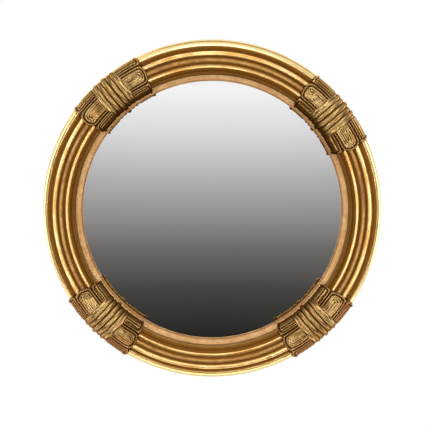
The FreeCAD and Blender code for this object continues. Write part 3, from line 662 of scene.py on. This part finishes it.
def leaf_outline(radius, distance, sizes, cut, random):
    """How far a cuff reaches from the collar's centre, in mm along the frame's middle: the highest of
    three round-ended leaves side by side, less small lobes along their edges. Gives also the reach
    of the narrow under-leaves whose points show in the splits."""
    lobe, lobe_length, ahead = cut
    notch = sizes.leaf_length / MM
    reach = np.zeros_like(radius)
    for number, (outer, inner, curve) in enumerate(LEAVES):
        middle, half = (outer + inner) / 2, (outer - inner) / 2
        inside = (radius <= outer + 0.01) & (radius >= inner - 0.01)
        base = math.sqrt(curve ** 2 - half ** 2)
        rise = np.sqrt(np.clip(curve ** 2 - (radius - middle) ** 2, 0, None)) - base
        extra = ahead if number == 1 else 0
        reach = np.where(inside, notch + rise * (1 + extra / (curve - base)), reach)
    phase = random.uniform(0, math.pi)
    reach = reach - lobe * (1 - np.sqrt(np.abs(np.sin(math.pi * distance / lobe_length + phase))))
    under = np.full_like(radius, notch - 3.0)
    for split in LEAF_CUTS:
        under = np.maximum(under, notch + 4.6 - 1.5 * np.abs(radius - split))
    return reach, under


def leaf_height(distance, across, reach, edges, ribs, sizes, random):
    """Carved relief of a cuff in mm above the arch. Each leaf swells in the middle and has a rim that
    follows its outline. The broad middle leaf is covered with fine lines nested in its outline, and the
    leaves beside it have a rib with a groove on either side. A deep cut parts the leaves. edges and ribs
    are the distances along the arch of the leaves' edges and ribs, outside in."""
    relief = sizes.leaf_relief / MM
    tip = reach - across
    leaf = np.digitize(distance, edges[1:-1])
    start, end, rib = edges[leaf], edges[leaf + 1], np.abs(distance - ribs[leaf])
    left = np.minimum(distance - start, end - distance)
    swell = np.clip(1 - (rib / (end - start) * 2) ** 2, 0, 1)
    broad = (leaf == 1).astype(float)
    blend = 0.55
    inside = -np.log(np.exp(-blend * left) + np.exp(-blend * np.clip(tip, 0, 60))) / blend
    height = 1.05 + 0.9 * swell
    height = height - 1.9 * np.exp(-(left / 1.0) ** 2) * (across > BAND_HALF)
    height += 1.10 * relief * np.exp(-((inside - 2.0) / 1.05) ** 2)
    height -= 0.80 * relief * np.exp(-((inside - 4.2) / 0.95) ** 2)
    # Lines nested in the outline, uneven in course and depth
    uneven = 0.55 * ripple(distance, across, (12, 34), random, 10)
    depth = 0.24 + 0.16 * ripple(distance, across, (10, 30), random, 8)
    lines = np.cos(TURN * (inside + uneven - 6.1) / 3.5) * np.clip((inside - 4.6) / 1.0, 0, 1)
    height += relief * lines * depth * (0.35 + 0.65 * broad)
    fade = np.clip(tip / 9, 0, 1) * (1 - broad)
    height += 0.75 * relief * np.exp(-(rib / 1.0) ** 2) * fade
    height -= 0.60 * relief * np.exp(-((rib - 2.5) / 0.95) ** 2) * fade
    height -= 0.9 * np.exp(-np.clip(tip, 0, None) / 0.45)
    height += 0.10 * ripple(distance, across, (6, 20), random, 20)
    # A plain fillet where the leaves leave the band
    fillet = 1.0 + 0.15 * np.cos((across - BAND_HALF) / 2.5 * math.pi)
    return np.where(across < BAND_HALF + 2.5, fillet, height)


def build_cuff(place, side, angle, sizes, material, seed):
    """A leaf cuff on one side of a band: the arch carried round the frame, from under the band to a
    scalloped outline, lifted by the carved relief, with its edges turned down to the reeds."""
    random = np.random.default_rng(seed)
    way = 1 if side == "left" else -1
    along, line_radius, _, _ = arch()
    distance = np.linspace(0, along[-1], 236)[:, None]
    radius, depth, out, up = on_arch(distance)
    cuts, ribs = (np.interp(-np.array(radii), -line_radius, along) for radii in (LEAF_CUTS, LEAF_RIBS))
    ribs = ribs + random.uniform(-0.8, 0.8, 3)
    # The outer and the inner leaf run on past the feet of the arch
    edges = np.array([-20.0, *cuts, along[-1] + 20.0])
    reach, under = leaf_outline(radius, distance, sizes, CUFFS[place][side], random)
    end = np.maximum(reach, under)
    start = 19.0
    across = start + (end - start - 0.3) * np.linspace(0, 1, 112)
    height = leaf_height(distance, across, reach, edges, ribs, sizes, random)
    beneath = across > reach
    height = np.where(beneath, 0.35 + 0.25 * np.exp(-np.abs(across - end)), height)
    top = height.shape[1]
    # The edge turns down to the reeds, and runs back under the leaves to the band
    last = height[:, -1:]
    turn_down = [(end - 0.08, last - 0.15), (end, last - 0.5), (end - 0.1, last - 1.6),
                 (end - 0.5, np.full_like(last, -4.0)), (end - 1.2, np.full_like(last, -9.4)),
                 (np.full_like(end, start), np.full_like(last, -9.4))]
    across = np.concatenate([across, *(pair[0] for pair in turn_down)], axis=1)
    height = np.concatenate([height, *(pair[1] for pair in turn_down)], axis=1)
    lifted = radius + out * height
    # Square to the collar's centre line at the band, and true to the circle at the tips
    blend = np.clip((across - start) / (end - start), 0, 1)
    square = np.arcsin(np.clip(start / lifted, -1, 1)) + (across - start) / COLLAR_MIDDLE
    turned = math.radians(angle) + way * ((1 - blend) * square + blend * (across / COLLAR_MIDDLE))
    points = polar(lifted, turned, depth + up * height)
    change = raised_above(height, top, 4)
    wax_and_shade = np.clip(-change / 0.50 - 0.05, 0, 1.2)
    # Painted shade on the edge that turns down under the leaves, and beyond the leaves' outline
    wax_and_shade[:, top:] = 1.2
    wax_and_shade[:, :top] += beneath * 0.35
    add_collar_piece(f"leaf_cuff_{place}_{side}", points, material, place, distance,
                     vectors(across * MM, distance * MM, seed), np.clip(change / 0.45, 0, 1), wax_and_shade)


# Radius in mm along which the slip's run is measured
SLIP_RUN_RADIUS = 217.0
# Radius and depth in mm of the slip's section, from its outer back corner over the face to the nose
SLIP = np.array([
    (223.8, 18.0), (223.8, 21.0), (223.8, 23.2), (223.5, 23.42), (222.6, 23.25), (221.6, 23.0),
    (219.5, 22.46), (217.8, 22.0), (216.2, 21.58), (215.1, 21.29), (214.5, 21.12), (214.12, 20.93),
    (213.94, 20.5), (213.92, 19.8), (213.92, 18.5), (214.0, 18.0), (218.0, 18.0),
])


def build_slip(material):
    """The flat slip at the sight edge: its section carried once round, with a soft nose and a face
    that wanders by a sum of slow waves."""
    random = np.random.default_rng(77)
    angle = np.linspace(0, TURN, 900, endpoint=False)[:, None]
    wander = sum(random.uniform(0.01, 0.05) * np.sin(angle * turns + random.uniform(0, TURN))
                 for turns in (3, 5, 9, 16, 31, 47, 68))
    radius, depth = SLIP.T
    depth = depth + wander * ((depth > 21) & (radius < 223.6))
    points = polar(radius, angle, depth)
    # Painted shade in the slip's outer corner, under the moulding's inner wall
    corner = np.exp(-(radius - 223.8) ** 2) * np.ones_like(depth)
    nose = np.exp(-((radius - 214.5) / 0.8) ** 2) * (depth > 20.9)
    add_surface("sight_slip_gilt", points, material, slot="gilt_slip", nodes=["sight_slip"], ring=True,
                marks={"run": vectors(angle * SLIP_RUN_RADIUS, radius, 0.0) * MM,
                       "worn": 0.5 + 0.6 * nose, "wax_and_shade": 0.8 * corner})


def build_glass(sizes, material):
    """The convex glass: front and back are parts of two spheres about one centre, the glass's
    thickness apart, closed by a ground edge."""
    ball, thick, rim = sizes.glass_radius / MM, 3.0, 216.9
    slip_back, play = 18.0, 0.3
    centre = slip_back - play - math.sqrt(ball ** 2 - SIGHT_RADIUS ** 2)
    radius = np.concatenate([[1.5], np.linspace(5, rim - 0.2, 70)])
    front = centre + np.sqrt(ball ** 2 - radius ** 2)
    back_ball = ball - thick
    behind = radius[::-1] * back_ball / ball
    back = centre + np.sqrt(back_ball ** 2 - behind ** 2)
    radius = np.concatenate([radius, [rim, rim - 0.3], behind])[:, None]
    depth = np.concatenate([front, [front[-1] - 0.3, back[0] + 0.3], back])[:, None]
    angle = np.linspace(0, TURN, 320, endpoint=False)
    ends = np.array([(0, -(centre + ball) * MM, 0), (0, -(centre + back_ball) * MM, 0)])
    add_surface("convex_glass_silvered", polar(radius, angle, depth), material, slot="mirror_glass",
                nodes=["convex_glass"], ends=ends)


# --- operators ---

class MIRROR_OT_mouldings(bpy.types.Operator):
    """Build the four reeded mouldings"""
    bl_idname = "mirror.mouldings"
    bl_label = "Reeded mouldings"

    def execute(self, context):
        sizes, tones = context.scene.mirror_sizes, context.scene.mirror_colours
        material = gilt("gilt_reeds", tones.leaf_gold, tones.deep_gold, tones.bole, tones.grime_and_shade,
                        rub=0.25, soot=0.4, seed=3.1, dull=0.03)
        for number, (node, angles) in enumerate(MOULDINGS.items()):
            build_moulding(node, angles, sizes, material, 100 + number)
        return {"FINISHED"}


class MIRROR_OT_slip(bpy.types.Operator):
    """Build the slip at the sight edge"""
    bl_idname = "mirror.slip"
    bl_label = "Sight slip"

    def execute(self, context):
        tones = context.scene.mirror_colours
        build_slip(gilt("gilt_slip", *SLIP_LEAF, shade(tones.bole, 1.3), tones.grime_and_shade, rub=0.75, soot=0.2,
                        seed=8.4, streak=(18, 300, 1), dull=0.26, leafed=0.6))
        return {"FINISHED"}


class MIRROR_OT_collars(bpy.types.Operator):
    """Build the ribbed bands and the leaf cuffs of the four collars"""
    bl_idname = "mirror.collars"
    bl_label = "Collars"

    def execute(self, context):
        sizes, tones = context.scene.mirror_sizes, context.scene.mirror_colours
        # Darker grime and painted shade on the collars
        bole, grime_and_shade = shade(tones.bole, 0.9), shade(tones.grime_and_shade, 0.40)
        carved = gilt("gilt_leaves", *CARVED_LEAF, bole, grime_and_shade, rub=0.25, soot=0.6, seed=5.6)
        ribbed = gilt("gilt_bands", *BAND_LEAF, bole, grime_and_shade, rub=0.10, soot=0.5, seed=9.3,
                      streak=(10, 70, 1), dull=0.05)
        for number, (place, angle) in enumerate(COLLARS.items()):
            build_band(place, angle, sizes, ribbed, 200 + number)
            for side in ("left", "right"):
                build_cuff(place, side, angle, sizes, carved, 300 + number * 2 + (side == "right"))
        return {"FINISHED"}


class MIRROR_OT_glass(bpy.types.Operator):
    """Build the convex glass"""
    bl_idname = "mirror.glass"
    bl_label = "Convex glass"

    def execute(self, context):
        tones = context.scene.mirror_colours
        build_glass(context.scene.mirror_sizes, silvered_glass("mirror_glass", tones.silvering))
        return {"FINISHED"}


class MIRROR_OT_back(bpy.types.Operator):
    """Finish the felloes, the backboard, the glazing blocks and the hanger"""
    bl_idname = "mirror.back"
    bl_label = "Back"

    def execute(self, context):
        tones = context.scene.mirror_colours
        for number in range(6):
            turn = math.radians(90 + 60 * number) + math.pi / 2
            paint(f"felloe_{number + 1}", old_pine(f"pine_ring_{number + 1}", shade(tones.pine, 0.9), turn,
                                                   1.3 * number + 0.4, side_tone=YELLOW_SIZE))
        for number, board in enumerate(("lower", "middle", "upper")):
            paint(f"backboard_{board}", old_pine(f"pine_board_{board}", tones.pine, 0.0, 7.7 + 2.1 * number))
        paint("glazing_blocks", old_pine("pine_blocks", shade(tones.pine, 1.1), 0.3, 4.2))
        iron = old_metal("iron_screw", tones.iron, RUST, 0.42, 1.0, 0.6)
        paint("backboard_screws", iron)
        paint("hanger_screws", iron)
        paint("hanger_plate", old_metal("brass_hanger", tones.brass, BROWN_TARNISH, 0.30, 2.0, 0.5))
        paint("hanging_ring", old_metal("brass_ring", tones.brass, BROWN_TARNISH, 0.26, 3.0, 0.4))
        return {"FINISHED"}


def paint(node, material):
    """Put a finish in every material slot of a CAD node."""
    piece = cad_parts[node]
    if not piece.material_slots:
        raise RuntimeError(f"{node} has no material slot")
    for slot in piece.material_slots:
        slot.material = material


class MIRROR_OT_stage(bpy.types.Operator):
    """Set up the floor, the lights, the background and the camera"""
    bl_idname = "mirror.stage"
    bl_label = "Stage"

    def execute(self, context):
        tones = context.scene.mirror_colours
        build_floor(tones.floor)
        build_world()
        build_lamps()
        build_camera()
        context.scene.view_settings.view_transform = "Standard"
        return {"FINISHED"}


def build_floor(tone):
    """A round pale floor well below the mirror, as it hangs on a wall: a disc of rings and spokes."""
    radius = np.array([0.2, 0.6, 1.0, 1.19, 1.2, 1.19, 1.0, 0.5])[:, None]
    top, middle, under = FLOOR_HEIGHT, FLOOR_HEIGHT - 0.005, FLOOR_HEIGHT - 0.01
    height = np.array([top, top, top, top, middle, under, under, under])[:, None]
    angle = np.linspace(0, TURN, 96, endpoint=False)
    points = vectors(radius * np.cos(angle), radius * np.sin(angle), height)
    mesh = closed_mesh("floor", points, ends=[(0, 0, top), (0, 0, under)], smooth=False)
    finish = Finish("floor_paint")
    fine = finish.noise(finish.place(), 40, 3, 0.5)
    mesh.materials.append(finish.done(Base_Color=fine.mix(shade(tone, 0.97), tone), Roughness=0.7))
    floor = add_object("floor", mesh)
    floor.visible_glossy = False


# Light in front of the mirror by the height of the direction that it comes from, as linear grey
ROOM_LIGHT = [(-1.0, 0.012), (-0.64, 0.018), (-0.45, 0.060), (-0.28, 0.150), (-0.12, 0.310), (0.05, 0.50),
              (0.22, 0.74), (0.42, 0.98), (0.60, 0.60), (1.0, 0.45)]
# The same for the sides of the room, and below it the light of the pale backdrop behind the mirror
SIDE_LIGHT = [(-1.0, 0.035), (-0.5, 0.085), (0.0, 0.13), (0.45, 0.20), (0.72, 0.75), (1.0, 1.0)]
BACK_LIGHT = (0.95, 0.94, 0.92)


def light_by_height(level, lights):
    """A ramp over the height of the direction, from 0 straight down to 1 straight up."""
    ramp = add_node(level.tree, "ValToRGB", 0, {0: level})
    elements = ramp.socket.node.color_ramp.elements
    while len(elements) < len(lights):
        elements.new(0.5)
    for element, (height, light) in zip(elements, lights):
        element.position = (height + 1) / 2
        warm = 1 + 0.12 * max(0.0, -height)
        element.color = (min(light * warm, 1.0), light, light * (2 - warm), 1.0)
    return ramp


def build_world():
    """White behind the object. For its reflections, by direction: in front a room that is light above
    and dark below, dark to the sides, and a pale backdrop behind the mirror."""
    world = bpy.data.worlds.new("room")
    bpy.context.scene.world = world
    world.use_nodes = True
    tree = world.node_tree
    tree.nodes.clear()
    direction = add_node(tree, "TexCoord", "Generated", {})
    behind, rise = (add_node(tree, "SeparateXYZ", axis, {0: direction}) for axis in "YZ")
    level = add_node(tree, "MapRange", "Result", {"Value": rise, "From Min": -1.0})
    front, sides = (light_by_height(level, lights) for lights in (ROOM_LIGHT, SIDE_LIGHT))
    tone = behind.step(-0.74, -0.55).mix(front, sides)
    tone = behind.step(-0.45, 0.02).mix(tone, BACK_LIGHT)
    room, white = (add_node(tree, "Background", 0, {"Color": light}) for light in (tone, (1.0, 1.0, 1.0)))
    seen = add_node(tree, "LightPath", "Is Camera Ray", {})
    add_output(tree, "World", add_node(tree, "MixShader", 0, {0: seen, 1: room, 2: white}))


NEUTRAL, WARM = (1.0, 0.98, 0.95), (1.0, 0.97, 0.93)
# Name, place in metres, width, height, power in watts, colour
LAMPS = [
    ("softbox_front", (0.0, -2.30, 0.25), 0.50, 0.7, 4.0, NEUTRAL),
    ("softbox_front_low", (0.0, -2.10, -0.60), 1.00, 0.45, 6.0, NEUTRAL),
    ("softbox_front_left", (-1.12, -1.90, -0.05), 0.38, 1.7, 13.0, NEUTRAL),
    ("softbox_front_right", (1.12, -1.90, -0.05), 0.38, 1.7, 13.0, NEUTRAL),
    ("softbox_top", (0.0, -1.30, 1.70), 1.4, 0.9, 14.0, NEUTRAL),
    ("softbox_low", (0.0, -0.80, -1.42), 1.5, 0.6, 8.0, WARM),
    ("softbox_low_left", (-1.25, -0.45, -1.25), 0.8, 0.7, 4.0, WARM),
    ("softbox_low_right", (1.25, -0.45, -1.25), 0.8, 0.7, 4.0, WARM),
    ("softbox_left", (-1.90, 0.20, 0.10), 0.9, 1.8, 13.0, NEUTRAL),
    ("softbox_right", (1.90, 0.20, 0.10), 0.9, 1.8, 13.0, NEUTRAL),
    ("softbox_behind", (-0.90, 2.00, 0.90), 0.9, 0.9, 9.0, NEUTRAL),
]


def build_lamps():
    """Soft area lamps that face the frame. They leave out the glass, which shows the plain room."""
    left_out = bpy.data.collections.new("not_lit_by_lamps")
    left_out.objects.link(bpy.data.objects["convex_glass_silvered"])
    left_out.collection_objects[0].light_linking.link_state = "EXCLUDE"
    for name, place, width, height, power, tone in LAMPS:
        light = bpy.data.lights.new(name, "AREA")
        light.shape = "RECTANGLE"
        light.size, light.size_y = width, height
        light.energy, light.color = power, tone
        lamp = add_object(name, light)
        aim(lamp, place, (0.0, -0.03, 0.0))
        lamp.light_linking.receiver_collection = left_out
        lamp.visible_camera = False


def aim(item, place, target):
    """Put an item at a place, with its -Z axis towards the target and its Y axis up."""
    back = np.array(place, float) - np.array(target, float)
    back /= np.linalg.norm(back)
    across = np.cross((0.0, 0.0, 1.0), back)
    across /= np.linalg.norm(across)
    upward = np.cross(back, across)
    item.matrix_world = Matrix([(across[i], upward[i], back[i], place[i]) for i in range(3)] + [(0, 0, 0, 1)])


def build_camera():
    """The camera a little above the mirror's middle, straight in front of it. A small shift puts the
    mirror where the photograph has it."""
    distance, rise = 1.897, math.radians(6.75)
    view = bpy.data.cameras.new("camera")
    view.lens_unit = "FOV"
    view.angle = math.radians(21.4)
    view.shift_x, view.shift_y = 3.9 / IMAGE_SIZE, -6.2 / IMAGE_SIZE
    camera = add_object("camera", view)
    aim(camera, (0.0, -distance * math.cos(rise), distance * math.sin(rise)), (0.0, 0.0, 0.0))
    bpy.context.scene.camera = camera


class MIRROR_PT_panel(bpy.types.Panel):
    """Sizes, colours and steps of the mirror"""
    bl_idname = "MIRROR_PT_panel"
    bl_label = "Convex mirror"
    bl_space_type = "VIEW_3D"
    bl_region_type = "UI"
    bl_category = "Convex mirror"

    def draw(self, context):
        layout = self.layout
        for step in STEPS:
            layout.operator(step.bl_idname)
        for group in (context.scene.mirror_sizes, context.scene.mirror_colours):
            box = layout.box()
            for name in group.__annotations__:
                box.prop(group, name)


STEPS = [MIRROR_OT_mouldings, MIRROR_OT_slip, MIRROR_OT_collars, MIRROR_OT_glass, MIRROR_OT_back,
         MIRROR_OT_stage]
CLASSES = [MirrorSizes, MirrorColours, *STEPS, MIRROR_PT_panel]


def register():
    for item in CLASSES:
        bpy.utils.register_class(item)
    bpy.types.Scene.mirror_sizes = PointerProperty(type=MirrorSizes)
    bpy.types.Scene.mirror_colours = PointerProperty(type=MirrorColours)


def unregister():
    del bpy.types.Scene.mirror_colours
    del bpy.types.Scene.mirror_sizes
    for item in reversed(CLASSES):
        bpy.utils.unregister_class(item)


def main():
    register()
    bpy.ops.mirror.mouldings()
    bpy.ops.mirror.slip()
    bpy.ops.mirror.collars()
    bpy.ops.mirror.glass()
    bpy.ops.mirror.back()
    bpy.ops.mirror.stage()


if __name__ == "__main__":
    main()
